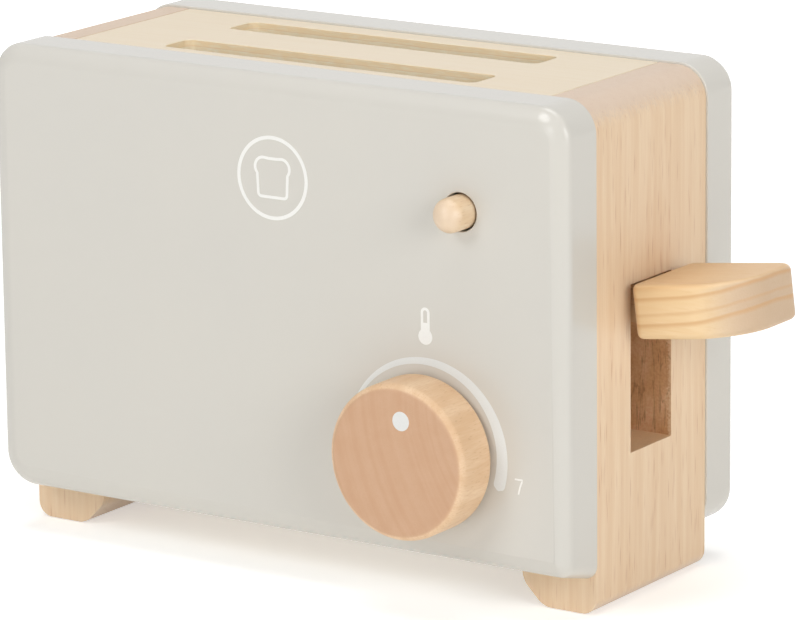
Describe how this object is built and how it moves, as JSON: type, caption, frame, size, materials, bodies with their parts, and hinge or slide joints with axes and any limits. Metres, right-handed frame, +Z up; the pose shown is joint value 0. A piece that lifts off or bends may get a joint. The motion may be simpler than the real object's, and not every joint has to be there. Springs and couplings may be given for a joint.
{
  "type": "toy toaster",
  "caption": "Wooden toy toaster: painted panels on solid end blocks that form the feet, bread slots in a plywood top, a sprung lift with a side lever, a push button and a turning knob.",
  "frame": {"origin": "under the centre of the toaster's bounding box, on the floor that its feet stand on", "axes": "+Z up, +X along the front towards the lever, -Y towards the front with the knob and button"},
  "size_m": [0.2192, 0.1002, 0.1367],
  "materials": {
    "panel_paint": "satin warm light grey paint on wood",
    "rubberwood": "fine sanded, clear matt lacquer",
    "plywood": "fine sanded plywood",
    "pine": "fine sanded pine, clear matt lacquer",
    "beech": "plain sanded beech",
    "button_wood": "sanded dowel",
    "knob_wood": "turned wood with a white dot",
    "felt": "pressed felt",
    "steel": "plain drawn steel"
  },
  "bodies": {
    "box": {"front_panel": "panel_paint", "back_panel": "panel_paint", "left_end_block": "rubberwood", "right_end_block": "rubberwood", "top_plate": "plywood", "bottom_plate": "plywood", "front_batten": "pine", "back_batten": "pine", "base_screws": "steel", "front_dowels": "beech", "back_dowels": "beech", "guide_rods": "steel", "lift_springs": "steel", "stem_guide": "beech", "button_spring": "steel"},
    "lift": {"left_slide_block": "beech", "right_slide_block": "beech", "front_bread_rail": "plywood", "back_bread_rail": "plywood", "lever_arm": "beech", "arm_pin": "beech", "lever_handle": "pine", "handle_screw": "steel", "brake_strip": "beech"},
    "button": {"button": "button_wood", "button_collar": "beech", "button_stem": "beech", "brake_plate": "plywood", "brake_pad": "felt"},
    "knob": {"knob": "knob_wood", "knob_axle": "beech", "knob_washer": "steel", "knob_screw": "steel"}
  },
  "joints": [
    {"name": "lever_slide", "type": "slide", "parent": "box", "child": "lift", "axis": [0, 0, -1], "range_m": [0, 0.032], "stiffness_N_per_m": 120, "springref_m": -0.03, "deforming": ["lift_springs"]},
    {"name": "button_slide", "type": "slide", "parent": "box", "child": "button", "axis": [0, 1, 0], "range_m": [0, 0.006], "stiffness_N_per_m": 150, "springref_m": -0.004, "deforming": ["button_spring"]},
    {"name": "knob_turn", "type": "hinge", "parent": "box", "child": "knob", "pos_m": [0.03136, -0.03555, 0.042], "axis": [0, -1, 0], "continuous": true}
  ]
}
